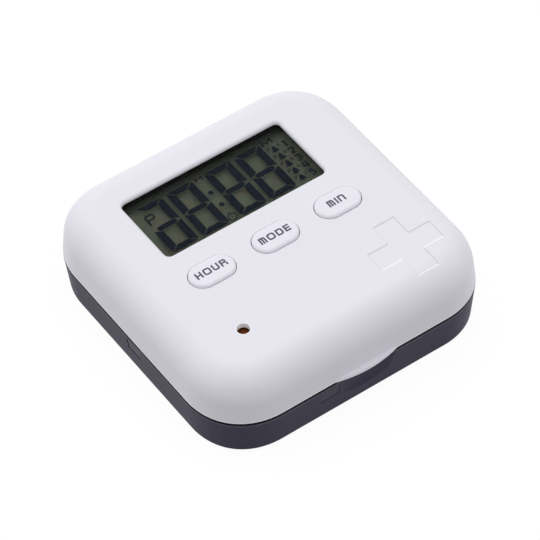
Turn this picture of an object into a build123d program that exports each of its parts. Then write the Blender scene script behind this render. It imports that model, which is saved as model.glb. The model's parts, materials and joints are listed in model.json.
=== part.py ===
"""Electronic pill box: a hinged lid that holds a timer, over a base that holds a pill tray.

Millimetres. The origin is the centre of the underside, +X to the right as the buttons read,
+Y towards the hinge at the back and +Z up.
"""
from build123d import *
import os
from math import atan2, cos, degrees, radians, sin, tan

os.makedirs("parts", exist_ok=True)

# Outside of the case
HALF_SIDE = 45.0
TOTAL_HEIGHT = 27.0
CORNER_END_R = 20.1
CORNER_MID_R = 16.5
CORNER_END_TURN = 22.0
CORNER_MID_TURN = 90.0 - 2 * CORNER_END_TURN
BASE_RIM_Z = 12.3
LID_EDGE_Z = 12.72
BASE_DRAFT = 5.3
LID_DRAFT = 6.0
LID_ROUND = 9.0
BASE_ROUND = 1.2
PARTING_EDGE_R = 0.1
GROOVE_OUTER_IN = 0.15
GROOVE_INNER_IN = 0.8
GROOVE_DEPTH = 1.0

# Walls
LID_WALL = 1.8
BASE_WALL = 3.0
BASE_FLOOR = 1.6
TONGUE_OUT = 2.1
TONGUE_TOP_Z = 13.9

# Hinge
HINGE_Y = 46.4
HINGE_Z = 12.5
KNUCKLE_R = 1.9
KNUCKLE_CLEAR_R = 2.15
PIN_R = 1.0
LID_BORE_R = 1.05
EAR_BORE_R = 1.01
LID_KNUCKLE_HALF = 20.0
EAR_LENGTH = 6.0
HINGE_GAP = 0.25
WEB_ROOT_Y = 44.0
WEB_THICKNESS = 0.9
WEB_NEAR = 1.5
WEB_FAR = 4.5

# Thumb lip and finger scoop
LIP_CHORD = 20.0
LIP_REACH = 1.5
LIP_THICKNESS = 0.8
SCOOP_CHORD = 19.9
SCOOP_DEPTH = 1.4
SCOOP_FOOT_Z = 2.0
SCOOP_FOOT_R = 5.0

# Display
DISPLAY_X = -1.24
DISPLAY_Y = 18.5
OPENING_WIDTH = 51.95
OPENING_HEIGHT = 23.3
OPENING_CORNER_R = 1.6
OPENING_RIM_R = 1.0
WINDOW_WIDTH = 57.0
WINDOW_HEIGHT = 28.0
WINDOW_THICKNESS = 1.05
WINDOW_TOP_Z = 25.95
PANEL_WIDTH = 57.0
PANEL_HEIGHT = 29.0
PANEL_THICKNESS = 1.1
PANEL_TOP_Z = 24.8
REFLECTOR_WIDTH = 56.0
REFLECTOR_HEIGHT = 23.6
REFLECTOR_THICKNESS = 0.2
FRAME_WALL = 2.0
FRAME_CLEARANCE = 0.2
STRIP_LENGTH = 50.0
STRIP_WIDTH = 1.8
STRIP_OFFSET = 13.3

# Buttons
BUTTON_SPACING = 20.53
BUTTON_X = -0.11
BUTTON_Y = -4.33
BUTTON_LENGTH = 13.8
BUTTON_WIDTH = 8.3
BUTTON_TOP_Z = 27.6
BUTTON_GAP = 0.15
BUTTON_EDGE_R = 0.8
BUTTON_HOLE_RIM_R = 0.3
FLANGE_MARGIN = 0.9
FLANGE_TOP_Z = 25.1
FLANGE_BOTTOM_Z = 24.4
STEM_R = 1.3
STEM_BOTTOM_Z = 24.1

# Switches
SWITCH_SIZE = 6.0
SWITCH_HEIGHT = 1.1
SWITCH_EDGE = 0.25
PLUNGER_R = 1.5
PLUNGER_BOTTOM_Z = 23.15
PLUNGER_HOLE_R = 1.55
PLUNGER_HOLE_BOTTOM_Z = 22.8

# Sounder
SOUNDER_X = -25.2
SOUNDER_Y = -25.4
SOUND_HOLE_R = 1.8
SOUND_HOLE_RIM_R = 0.3
DISC_R = 9.0
DISC_THICKNESS = 0.2
CERAMIC_R = 6.0
SEAT_DEPTH = 0.4
SEAT_INNER_R = 7.5
SEAT_OUTER_R = 10.3
SEAT_RIM_HEIGHT = 0.5
SEAT_CLEARANCE = 0.1
LEAF_WIDTH = 2.0
LEAF_THICKNESS = 0.2
LEAF_REACH = 3.0
LEAF_FOOT = 3.0
LEAF_GAP = 0.05

# Debossed plus
PLUS_X = 25.9
PLUS_Y = -27.65
PLUS_SPAN = 20.6
PLUS_ARM = 6.9
PLUS_DEPTH = 0.15

# Circuit board and what is on it
BOARD_LEFT = -32.0
BOARD_RIGHT = 30.0
BOARD_FRONT = -36.0
BOARD_BACK = 34.5
BOARD_BOTTOM_Z = 21.6
BOARD_TOP_Z = 22.6
BOARD_CORNER_R = 2.0
POST_PLACES = [(-10.4, BUTTON_Y), (10.15, BUTTON_Y), (-6.0, -32.0), (27.0, -14.0)]
POST_R = 1.8
POST_PILOT_R = 0.6
BOARD_HOLE_R = 0.75
BOARD_SCREW_R = 0.55
BOARD_SCREW_HEAD_R = 1.4
BOARD_SCREW_HEAD = 0.8
BOARD_SCREW_LENGTH = 3.0
POST_PILOT_DEPTH = 2.3
CHIP_PLACE = (-8.0, 16.0)
CHIP_R = 5.5
CHIP_HEIGHT = 1.2
CRYSTAL_PLACE = (6.0, 10.0)
CRYSTAL_R = 1.0
CRYSTAL_LENGTH = 6.0
CHIP_PART_SIZE = (1.6, 0.8, 0.6)
CAPACITOR_PLACES = [(-22.0, 10.0), (-22.0, 13.0), (4.0, 22.0), (4.0, 25.0), (16.0, 4.0)]
RESISTOR_PLACES = [(-22.0, 20.0), (-22.0, 23.0), (12.0, 22.0), (12.0, 25.0), (-14.0, 2.0), (20.0, 4.0)]

# Liner that closes the lid
LINER_BOTTOM_Z = 16.2
LINER_THICKNESS = 1.5
LINER_IN = 2.6
BOSS_PLACE = 35.0
BOSS_R = 2.75
BOSS_PILOT_R = 0.85
BOSS_PILOT_DEPTH = 6.0
LINER_HOLE_R = 1.1
LINER_SCREW_R = 0.8
LINER_SCREW_HEAD_R = 1.9
DOOR_SCREW_HEAD_R = 1.6
SCREW_HEAD_ANGLE = 90
SCREW_HEAD_CLEARANCE = 0.1
LINER_SCREW_LENGTH = 6.0
SCREW_SLOT_WIDTH = 0.5
SCREW_SLOT_DEPTH = 0.4

# Coin cell and its door
CELL_X = 14.0
CELL_Y = -26.5
CELL_R = 10.0
CELL_BOTTOM_Z = 18.2
CELL_CAN_HEIGHT = 2.8
CELL_CAP_R = 8.8
CELL_CAP_HEIGHT = 0.4
CELL_EDGE_R = 0.3
WELL_INNER_R = 10.3
WELL_OUTER_R = 11.7
WELL_TOP_Z = 21.3
DOOR_R = 12.2
DOOR_CLEARANCE = 0.2
DOOR_THICKNESS = 0.8
DOOR_PLUG_R = 10.0
DOOR_PLUG_HEIGHT = 1.0
DOOR_TAB_REACH = 17.2
DOOR_TAB_WIDTH = 7.0
DOOR_SCREW_REACH = 14.4
DOOR_SCREW_LENGTH = 4.0
DOOR_BOSS_R = 2.3
DOOR_BOSS_TOP_Z = 20.8
DOOR_BOSS_PILOT_R = 0.85
CONTACT_THICKNESS = 0.2
NEGATIVE_LENGTH = 12.0
CONTACT_WIDTH = 5.0
POSITIVE_FOOT = 3.0
POSITIVE_GAP = 0.05
POSITIVE_BOTTOM_Z = 18.8
CONTACT_SLOT = 5.6

# Pill tray
TRAY_CLEARANCE = 0.3
TRAY_TOP_Z = 15.9
TRAY_WALL = 1.2
TRAY_FLOOR = 1.0
DIVIDER = 1.4
POCKET_CORNER_R = 4.0
POCKET_FLOOR_R = 2.5
TRAY_RIM_R = 0.3
TRAY_FOOT_R = 0.6
TAB_FRONT_X = -11.5
TAB_SIDE_Y = -1.0
TAB_WIDTH = 5.8
TAB_HEIGHT = 3.4
TAB_Z = 8.85
TAB_CLEARANCE = 0.1
TAB_FACE_IN = 0.15
WINDOW_SILL = 0.4
WINDOW_REACH = 4.0

# Worked out from the above
CEILING_Z = TOTAL_HEIGHT - LID_WALL
LINER_TOP_Z = LINER_BOTTOM_Z + LINER_THICKNESS
BASE_UNDERSIDE_IN = BASE_RIM_Z * tan(radians(BASE_DRAFT))
PANEL_BOTTOM_Z = PANEL_TOP_Z - PANEL_THICKNESS
DISC_TOP_Z = CEILING_Z - SEAT_DEPTH
CERAMIC_TOP_Z = DISC_TOP_Z - DISC_THICKNESS
CELL_TOP_Z = CELL_BOTTOM_Z + CELL_CAN_HEIGHT + CELL_CAP_HEIGHT
EAR_X = LID_KNUCKLE_HALF + HINGE_GAP + EAR_LENGTH / 2
TRAY_IN = BASE_WALL + TRAY_CLEARANCE
BUTTON_PLACES = {
    "hour": (BUTTON_X - BUTTON_SPACING, BUTTON_Y),
    "mode": (BUTTON_X, BUTTON_Y),
    "minute": (BUTTON_X + BUTTON_SPACING, BUTTON_Y),
}
BOSS_PLACES = [(x, y) for x in (-BOSS_PLACE, BOSS_PLACE) for y in (-BOSS_PLACE, BOSS_PLACE)]


def case_outline(inset):
    """Face of the case's rounded square, drawn in by inset.

    Each corner turns gently at its two ends and more tightly in its middle.
    """
    half = HALF_SIDE - inset
    end_r = CORNER_END_R - inset
    mid_r = CORNER_MID_R - inset
    turn = radians(CORNER_END_TURN)
    corner = end_r * (1 + sin(turn) - cos(turn)) + mid_r * (cos(turn) - sin(turn))
    side = 2 * (half - corner)
    with BuildSketch() as outline:
        with BuildLine():
            tip = Vector(half, -side / 2)
            heading = Vector(0, 1)
            for _ in range(4):
                edge = Line(tip, tip + heading * side)
                first = JernArc(edge @ 1, edge % 1, end_r, CORNER_END_TURN)
                middle = JernArc(first @ 1, first % 1, mid_r, CORNER_MID_TURN)
                last = JernArc(middle @ 1, middle % 1, end_r, CORNER_END_TURN)
                tip = last @ 1
                heading = heading.rotate(Axis.Z, 90)
        make_face()
    return outline.sketch


def lid_block(inset, bottom):
    """Solid with the lid's outer form, drawn in by inset, from bottom to the top."""
    with BuildPart() as block:
        with BuildSketch(Plane.XY.offset(bottom)):
            add(case_outline(inset + (bottom - LID_EDGE_Z) * tan(radians(LID_DRAFT))))
        extrude(amount=TOTAL_HEIGHT - inset - bottom, taper=LID_DRAFT)
        fillet(block.faces().sort_by(Axis.Z)[-1].edges(), LID_ROUND - inset)
    return block.part


def base_block(inset, top):
    """Solid with the base's outer form, drawn in by inset, from the underside to top."""
    with BuildPart() as block:
        with BuildSketch():
            add(case_outline(inset + BASE_UNDERSIDE_IN))
        extrude(amount=top, taper=-BASE_DRAFT)
    return block.part


def countersunk_screw(length, head_r):
    """Screw that points up from the origin, with its slotted head's face at the origin."""
    head_height = head_r - LINER_SCREW_R
    with BuildPart() as screw:
        with BuildSketch():
            Circle(head_r)
        extrude(amount=head_height, taper=SCREW_HEAD_ANGLE / 2)
        with BuildSketch(Plane.XY.offset(head_height / 2)):
            Circle(LINER_SCREW_R)
        extrude(amount=length - head_height / 2)
        with BuildSketch():
            Rectangle(2 * head_r, SCREW_SLOT_WIDTH)
        extrude(amount=SCREW_SLOT_DEPTH, mode=Mode.SUBTRACT)
    return screw.part


def save(sub_part, name):
    """Label a finished piece and write it."""
    sub_part.part.label = name
    export_step(sub_part.part, f"parts/{name}.step")


# Cutter for the finger scoop: part of a wide upright cylinder that rounds off towards its foot
with BuildPart() as scoop_cutter:
    scoop_r = ((SCOOP_CHORD / 2) ** 2 + SCOOP_DEPTH**2) / (2 * SCOOP_DEPTH)
    with BuildSketch(Plane.XY.offset(SCOOP_FOOT_Z)):
        with Locations((0, SCOOP_DEPTH - HALF_SIDE - scoop_r)):
            Circle(scoop_r)
    extrude(amount=BASE_RIM_Z)
    fillet(scoop_cutter.faces().sort_by(Axis.Z)[0].edges(), SCOOP_FOOT_R)

# Cutter for the shadow groove in the base's rim: it slopes down inwards from the outer edge
with BuildPart() as groove_cutter:
    with BuildSketch(Plane.XY.offset(BASE_RIM_Z)):
        add(case_outline(GROOVE_OUTER_IN))
    extrude(amount=-GROOVE_DEPTH, taper=degrees(atan2(GROOVE_INNER_IN - GROOVE_OUTER_IN, GROOVE_DEPTH)))
    with BuildSketch(Plane.XY.offset(BASE_RIM_Z)):
        add(case_outline(GROOVE_INNER_IN))
    extrude(amount=-GROOVE_DEPTH, mode=Mode.SUBTRACT)

# Base shell: drafted tub with a tongue inside its rim, finger scoop, tab windows and hinge ears
with BuildPart() as base_shell:
    add(base_block(0, BASE_RIM_Z))
    fillet(base_shell.faces().sort_by(Axis.Z)[0].edges(), BASE_ROUND)
    fillet(base_shell.faces().sort_by(Axis.Z)[-1].edges(), PARTING_EDGE_R)
    add(groove_cutter.part, mode=Mode.SUBTRACT)
    add(scoop_cutter.part, mode=Mode.SUBTRACT)
    with BuildSketch(Plane.XY.offset(BASE_FLOOR)):
        add(case_outline(TONGUE_OUT))
    extrude(amount=TONGUE_TOP_Z - BASE_FLOOR)
    with BuildSketch(Plane.XY.offset(BASE_FLOOR)):
        add(case_outline(BASE_WALL))
    extrude(amount=TONGUE_TOP_Z - BASE_FLOOR, mode=Mode.SUBTRACT)
    # windows for the tray's snap tabs, each with a sloping sill
    with BuildSketch(Plane.XZ.offset(HALF_SIDE)):
        with Locations((TAB_FRONT_X, TAB_Z)):
            Rectangle(TAB_WIDTH + 2 * TAB_CLEARANCE, TAB_HEIGHT + 2 * TAB_CLEARANCE)
    extrude(amount=-WINDOW_REACH, mode=Mode.SUBTRACT)
    with BuildSketch(Plane.YZ):
        with Locations((TAB_SIDE_Y, TAB_Z)):
            Rectangle(TAB_WIDTH + 2 * TAB_CLEARANCE, TAB_HEIGHT + 2 * TAB_CLEARANCE)
    extrude(amount=HALF_SIDE, both=True, mode=Mode.SUBTRACT)
    sill_z = TAB_Z - TAB_HEIGHT / 2 - TAB_CLEARANCE
    sill_edges = base_shell.edges().filter_by_position(
        Axis.Z, sill_z - TAB_CLEARANCE, sill_z + TAB_CLEARANCE
    )
    side_sills = sill_edges.filter_by(Axis.Y).sort_by(Axis.X)
    chamfer([sill_edges.filter_by(Axis.X).sort_by(Axis.Y)[0], side_sills[0], side_sills[-1]], WINDOW_SILL)
    # room for the lid's knuckle, then the two ears beside it
    with BuildSketch(Plane.YZ):
        with Locations((HINGE_Y, HINGE_Z)):
            Circle(KNUCKLE_CLEAR_R)
    extrude(amount=LID_KNUCKLE_HALF + HINGE_GAP, both=True, mode=Mode.SUBTRACT)
    for side in (-1, 1):
        with BuildSketch(Plane.YZ.offset(side * EAR_X)):
            with Locations((HINGE_Y, HINGE_Z)):
                Circle(KNUCKLE_R)
            with Locations((WEB_ROOT_Y, HINGE_Z - (WEB_NEAR + WEB_FAR) / 2)):
                Rectangle(WEB_THICKNESS, WEB_FAR - WEB_NEAR)
            make_hull()
        extrude(amount=EAR_LENGTH / 2, both=True)
    with BuildSketch(Plane.YZ):
        with Locations((HINGE_Y, HINGE_Z)):
            Circle(EAR_BORE_R)
    extrude(amount=EAR_X + EAR_LENGTH, both=True, mode=Mode.SUBTRACT)
save(base_shell, "base_shell")

# Pill tray: four compartments, and three snap tabs that reach into the base's windows
with BuildPart() as pill_tray:
    with BuildSketch(Plane.XY.offset(BASE_FLOOR)):
        add(case_outline(TRAY_IN))
    extrude(amount=TRAY_TOP_Z - BASE_FLOOR)
    fillet(pill_tray.faces().sort_by(Axis.Z)[0].edges(), TRAY_FOOT_R)
    with BuildSketch(Plane.XY.offset(BASE_FLOOR + TRAY_FLOOR)) as pockets:
        add(case_outline(TRAY_IN + TRAY_WALL))
        Rectangle(DIVIDER, 2 * HALF_SIDE, mode=Mode.SUBTRACT)
        Rectangle(2 * HALF_SIDE, DIVIDER, mode=Mode.SUBTRACT)
        fillet(pockets.vertices().filter_by(lambda v: min(abs(v.X), abs(v.Y)) < DIVIDER), POCKET_CORNER_R)
    extrude(amount=TRAY_TOP_Z - BASE_FLOOR, mode=Mode.SUBTRACT)
    pocket_floors = pill_tray.faces().filter_by_position(
        Axis.Z, BASE_FLOOR + TRAY_FLOOR - TRAY_RIM_R, BASE_FLOOR + TRAY_FLOOR + TRAY_RIM_R
    )
    fillet(pocket_floors.filter_by(Axis.Z).edges(), POCKET_FLOOR_R)
    fillet(pill_tray.faces().sort_by(Axis.Z)[-1].edges(), TRAY_RIM_R)
    with BuildSketch(Plane.XZ.offset(HALF_SIDE)):
        with Locations((TAB_FRONT_X, TAB_Z)):
            Rectangle(TAB_WIDTH, TAB_HEIGHT)
    extrude(amount=-TRAY_IN - TRAY_WALL / 2)
    for side in (-1, 1):
        with BuildSketch(Plane.YZ.offset(side * HALF_SIDE)):
            with Locations((TAB_SIDE_Y, TAB_Z)):
                Rectangle(TAB_WIDTH, TAB_HEIGHT)
        extrude(amount=-side * (TRAY_IN + TRAY_WALL / 2))
    add(base_block(TAB_FACE_IN, TRAY_TOP_Z + TRAY_WALL), mode=Mode.INTERSECT)
save(pill_tray, "pill_tray")

# Hinge pin: a plain steel rod through the lid's knuckle and the base's ears
with BuildPart() as hinge_pin:
    with BuildSketch(Plane.YZ):
        with Locations((HINGE_Y, HINGE_Z)):
            Circle(PIN_R)
    extrude(amount=EAR_X + EAR_LENGTH / 2 - HINGE_GAP, both=True)
    chamfer(hinge_pin.edges().filter_by(GeomType.CIRCLE), HINGE_GAP)
save(hinge_pin, "hinge_pin")

# Lid shell: rounded hood with the display opening, button holes, sound hole and plus sign
lid_outside = lid_block(0, LID_EDGE_Z)
lid_inside = lid_block(LID_WALL, LID_EDGE_Z)
plus_floor = lid_block(PLUS_DEPTH, LID_EDGE_Z)
with BuildPart() as plus_cutter:
    with BuildSketch(Plane.XY.offset(CEILING_Z - LID_WALL)):
        with Locations((PLUS_X, PLUS_Y)):
            Rectangle(PLUS_SPAN, PLUS_ARM)
            Rectangle(PLUS_ARM, PLUS_SPAN)
    extrude(amount=3 * LID_WALL)
    add(plus_floor, mode=Mode.SUBTRACT)

with BuildPart() as lid_shell:
    add(lid_outside)
    fillet(lid_shell.faces().sort_by(Axis.Z)[0].edges(), PARTING_EDGE_R)
    # thumb lip: a shallow crescent along the front edge
    lip_r = ((LIP_CHORD / 2) ** 2 + LIP_REACH**2) / (2 * LIP_REACH)
    with BuildSketch(Plane.XY.offset(LID_EDGE_Z)):
        with Locations((0, lip_r - LIP_REACH - HALF_SIDE)):
            Circle(lip_r)
        with Locations((0, lip_r - HALF_SIDE + LID_WALL / 2)):
            Rectangle(3 * lip_r, 2 * lip_r, mode=Mode.SUBTRACT)
    lip = extrude(amount=LIP_THICKNESS)
    add(lid_inside, mode=Mode.SUBTRACT)
    # display opening with a soft rim, and the window's pocket under it
    with BuildSketch(Plane.XY.offset(CEILING_Z - LID_WALL)):
        with Locations((DISPLAY_X, DISPLAY_Y)):
            RectangleRounded(OPENING_WIDTH, OPENING_HEIGHT, OPENING_CORNER_R)
    extrude(amount=3 * LID_WALL, mode=Mode.SUBTRACT)
    fillet(lid_shell.faces().sort_by(Axis.Z)[-1].inner_wires()[0].edges(), OPENING_RIM_R)
    with BuildSketch(Plane.XY.offset(WINDOW_TOP_Z)):
        with Locations((DISPLAY_X, DISPLAY_Y)):
            Rectangle(WINDOW_WIDTH + FRAME_CLEARANCE, WINDOW_HEIGHT + FRAME_CLEARANCE)
    extrude(amount=CEILING_Z - LID_WALL - WINDOW_TOP_Z, mode=Mode.SUBTRACT)
    # button holes
    with BuildSketch(Plane.XY.offset(CEILING_Z - LID_WALL)):
        with Locations(*BUTTON_PLACES.values()):
            SlotOverall(BUTTON_LENGTH + 2 * BUTTON_GAP, BUTTON_WIDTH + 2 * BUTTON_GAP)
    extrude(amount=3 * LID_WALL, mode=Mode.SUBTRACT)
    # sound hole
    with BuildSketch(Plane.XY.offset(CEILING_Z - LID_WALL)):
        with Locations((SOUNDER_X, SOUNDER_Y)):
            Circle(SOUND_HOLE_R)
    extrude(amount=3 * LID_WALL, mode=Mode.SUBTRACT)
    top_edges = lid_shell.edges().filter_by_position(
        Axis.Z, TOTAL_HEIGHT - PARTING_EDGE_R / 2, TOTAL_HEIGHT + PARTING_EDGE_R / 2
    )
    button_rims = top_edges.filter_by_position(
        Axis.Y, BUTTON_Y - BUTTON_WIDTH / 2 - 2 * BUTTON_GAP, BUTTON_Y + BUTTON_WIDTH / 2 + 2 * BUTTON_GAP
    ).filter_by_position(Axis.X, BUTTON_X - 1.5 * BUTTON_SPACING, BUTTON_X + 1.5 * BUTTON_SPACING)
    fillet(button_rims, BUTTON_HOLE_RIM_R)
    fillet(top_edges.filter_by(GeomType.CIRCLE).sort_by_distance((SOUNDER_X, SOUNDER_Y, TOTAL_HEIGHT))[0],
           SOUND_HOLE_RIM_R)
    add(plus_cutter.part, mode=Mode.SUBTRACT)
    # ring seat for the sounder disc, kept inside the hood
    with BuildSketch(Plane.XY.offset(DISC_TOP_Z)):
        with Locations((SOUNDER_X, SOUNDER_Y)):
            Circle(SEAT_OUTER_R)
            Circle(SEAT_INNER_R, mode=Mode.SUBTRACT)
    extrude(amount=SEAT_DEPTH + LID_WALL / 2)
    with BuildSketch(Plane.XY.offset(DISC_TOP_Z - SEAT_RIM_HEIGHT)):
        with Locations((SOUNDER_X, SOUNDER_Y)):
            Circle(SEAT_OUTER_R)
            Circle(DISC_R + SEAT_CLEARANCE, mode=Mode.SUBTRACT)
    extrude(amount=SEAT_RIM_HEIGHT)
    # bosses for the liner's screws
    with BuildSketch(Plane.XY.offset(LINER_TOP_Z)):
        with Locations(*BOSS_PLACES):
            Circle(BOSS_R)
    extrude(until=Until.NEXT)
    with BuildSketch(Plane.XY.offset(LINER_TOP_Z)):
        with Locations(*BOSS_PLACES):
            Circle(BOSS_PILOT_R)
    extrude(amount=BOSS_PILOT_DEPTH, mode=Mode.SUBTRACT)
    # posts for the board's screws
    with BuildSketch(Plane.XY.offset(BOARD_TOP_Z)):
        with Locations(*POST_PLACES):
            Circle(POST_R)
    extrude(amount=CEILING_Z - BOARD_TOP_Z + LID_WALL / 2)
    with BuildSketch(Plane.XY.offset(BOARD_TOP_Z)):
        with Locations(*POST_PLACES):
            Circle(POST_PILOT_R)
    extrude(amount=POST_PILOT_DEPTH, mode=Mode.SUBTRACT)
    # room for the base's ears, then the knuckle between them
    for side in (-1, 1):
        with BuildSketch(Plane.YZ.offset(side * EAR_X)):
            with Locations((HINGE_Y, HINGE_Z)):
                Circle(KNUCKLE_CLEAR_R)
        extrude(amount=EAR_LENGTH / 2 + HINGE_GAP, both=True, mode=Mode.SUBTRACT)
    with BuildSketch(Plane.YZ):
        with Locations((HINGE_Y, HINGE_Z)):
            Circle(KNUCKLE_R)
        with Locations((WEB_ROOT_Y, HINGE_Z + (WEB_NEAR + WEB_FAR) / 2)):
            Rectangle(WEB_THICKNESS, WEB_FAR - WEB_NEAR)
        make_hull()
    extrude(amount=LID_KNUCKLE_HALF, both=True)
    with BuildSketch(Plane.YZ):
        with Locations((HINGE_Y, HINGE_Z)):
            Circle(LID_BORE_R)
    extrude(amount=EAR_X, both=True, mode=Mode.SUBTRACT)
save(lid_shell, "lid_shell")

# Display window: clear plate glued up into its pocket
with BuildPart() as display_window:
    with BuildSketch(Plane.XY.offset(WINDOW_TOP_Z - WINDOW_THICKNESS)):
        with Locations((DISPLAY_X, DISPLAY_Y)):
            Rectangle(WINDOW_WIDTH, WINDOW_HEIGHT)
    extrude(amount=WINDOW_THICKNESS)
save(display_window, "display_window")

# Display panel: two sheets of glass, taken as one
with BuildPart() as display_panel:
    with BuildSketch(Plane.XY.offset(PANEL_BOTTOM_Z)):
        with Locations((DISPLAY_X, DISPLAY_Y)):
            Rectangle(PANEL_WIDTH, PANEL_HEIGHT)
    extrude(amount=PANEL_THICKNESS)
save(display_panel, "display_panel")

# Reflector foil behind the display panel
with BuildPart() as display_reflector:
    with BuildSketch(Plane.XY.offset(PANEL_BOTTOM_Z - REFLECTOR_THICKNESS)):
        with Locations((DISPLAY_X, DISPLAY_Y)):
            Rectangle(REFLECTOR_WIDTH, REFLECTOR_HEIGHT)
    extrude(amount=REFLECTOR_THICKNESS)
save(display_reflector, "display_reflector")

# Display frame: stands on the board and keeps the panel square to the opening
with BuildPart() as display_frame:
    with BuildSketch(Plane.XY.offset(BOARD_TOP_Z)):
        with Locations((DISPLAY_X, DISPLAY_Y)):
            Rectangle(PANEL_WIDTH + 2 * FRAME_WALL, PANEL_HEIGHT + 2 * FRAME_WALL)
            Rectangle(
                PANEL_WIDTH + 2 * FRAME_CLEARANCE,
                PANEL_HEIGHT + 2 * FRAME_CLEARANCE,
                mode=Mode.SUBTRACT,
            )
    extrude(amount=CEILING_Z - BOARD_TOP_Z - FRAME_CLEARANCE)
save(display_frame, "display_frame")

# Elastomer contact strips between the board and the panel's two long ledges
for name, side in (("front_contact_strip", -1), ("back_contact_strip", 1)):
    with BuildPart() as contact_strip:
        with BuildSketch(Plane.XY.offset(BOARD_TOP_Z)):
            with Locations((DISPLAY_X, DISPLAY_Y + side * STRIP_OFFSET)):
                Rectangle(STRIP_LENGTH, STRIP_WIDTH)
        extrude(amount=PANEL_BOTTOM_Z - BOARD_TOP_Z)
    save(contact_strip, name)

# Buttons, each with a flange that keeps it in the lid and a stem over its switch
for name, place in BUTTON_PLACES.items():
    with BuildPart() as button:
        with BuildSketch(Plane.XY.offset(FLANGE_TOP_Z)):
            with Locations(place):
                SlotOverall(BUTTON_LENGTH, BUTTON_WIDTH)
        extrude(amount=BUTTON_TOP_Z - FLANGE_TOP_Z)
        fillet(button.faces().sort_by(Axis.Z)[-1].edges(), BUTTON_EDGE_R)
        with BuildSketch(Plane.XY.offset(FLANGE_BOTTOM_Z)):
            with Locations(place):
                SlotOverall(BUTTON_LENGTH + 2 * FLANGE_MARGIN, BUTTON_WIDTH + 2 * FLANGE_MARGIN)
        extrude(amount=FLANGE_TOP_Z - FLANGE_BOTTOM_Z)
        with BuildSketch(Plane.XY.offset(STEM_BOTTOM_Z)):
            with Locations(place):
                Circle(STEM_R)
        extrude(amount=FLANGE_BOTTOM_Z - STEM_BOTTOM_Z)
    save(button, f"{name}_button")

    with BuildPart() as switch_body:
        with BuildSketch(Plane.XY.offset(BOARD_TOP_Z)):
            with Locations(place):
                Rectangle(SWITCH_SIZE, SWITCH_SIZE)
        extrude(amount=SWITCH_HEIGHT)
        chamfer(switch_body.faces().sort_by(Axis.Z)[-1].edges(), SWITCH_EDGE)
        with BuildSketch(Plane.XY.offset(PLUNGER_HOLE_BOTTOM_Z)):
            with Locations(place):
                Circle(PLUNGER_HOLE_R)
        extrude(amount=SWITCH_HEIGHT, mode=Mode.SUBTRACT)
    save(switch_body, f"{name}_switch")

    with BuildPart() as plunger:
        with BuildSketch(Plane.XY.offset(PLUNGER_BOTTOM_Z)):
            with Locations(place):
                Circle(PLUNGER_R)
        extrude(amount=STEM_BOTTOM_Z - PLUNGER_BOTTOM_Z)
    save(plunger, f"{name}_plunger")

# Sounder: brass disc on its seat, with the ceramic layer under it
with BuildPart() as sounder_disc:
    with BuildSketch(Plane.XY.offset(CERAMIC_TOP_Z)):
        with Locations((SOUNDER_X, SOUNDER_Y)):
            Circle(DISC_R)
    extrude(amount=DISC_THICKNESS)
save(sounder_disc, "sounder_disc")

with BuildPart() as sounder_ceramic:
    with BuildSketch(Plane.XY.offset(CERAMIC_TOP_Z - DISC_THICKNESS)):
        with Locations((SOUNDER_X, SOUNDER_Y)):
            Circle(CERAMIC_R)
    extrude(amount=DISC_THICKNESS)
save(sounder_ceramic, "sounder_ceramic")

# Leaf contacts that rise from the board to the disc and to the ceramic layer
leaf_places = {
    "sounder_disc_contact": (
        SOUNDER_X + LEAF_WIDTH, SOUNDER_Y + DISC_R - LEAF_WIDTH / 2, CERAMIC_TOP_Z
    ),
    "sounder_ceramic_contact": (
        SOUNDER_X - LEAF_WIDTH, SOUNDER_Y + LEAF_WIDTH, CERAMIC_TOP_Z - DISC_THICKNESS
    ),
}
for name, (leaf_x, leaf_y, leaf_z) in leaf_places.items():
    foot_z = BOARD_TOP_Z + LEAF_THICKNESS / 2
    tip_z = leaf_z - LEAF_THICKNESS / 2 - 2 * LEAF_GAP
    with BuildPart() as leaf_contact:
        with BuildSketch(Plane.YZ.offset(leaf_x)):
            with BuildLine():
                Polyline(
                    (leaf_y, tip_z), (leaf_y + LEAF_REACH, foot_z), (leaf_y + LEAF_REACH + LEAF_FOOT, foot_z)
                )
            trace(line_width=LEAF_THICKNESS)
        extrude(amount=LEAF_WIDTH / 2, both=True)
    save(leaf_contact, name)

# Circuit board with clearance holes for its screws
with BuildPart() as circuit_board:
    with BuildSketch(Plane.XY.offset(BOARD_BOTTOM_Z)):
        with Locations(((BOARD_LEFT + BOARD_RIGHT) / 2, (BOARD_FRONT + BOARD_BACK) / 2)):
            RectangleRounded(BOARD_RIGHT - BOARD_LEFT, BOARD_BACK - BOARD_FRONT, BOARD_CORNER_R)
        with Locations(*POST_PLACES):
            Circle(BOARD_HOLE_R, mode=Mode.SUBTRACT)
    extrude(amount=BOARD_TOP_Z - BOARD_BOTTOM_Z)
save(circuit_board, "circuit_board")

# Pan-head screws from under the board into the lid's posts
with BuildPart() as board_screws:
    with BuildSketch(Plane.XY.offset(BOARD_BOTTOM_Z - BOARD_SCREW_HEAD)):
        with Locations(*POST_PLACES):
            Circle(BOARD_SCREW_HEAD_R)
    extrude(amount=BOARD_SCREW_HEAD)
    with BuildSketch(Plane.XY.offset(BOARD_BOTTOM_Z)):
        with Locations(*POST_PLACES):
            Circle(BOARD_SCREW_R)
    extrude(amount=BOARD_SCREW_LENGTH)
save(board_screws, "board_screws")

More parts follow.
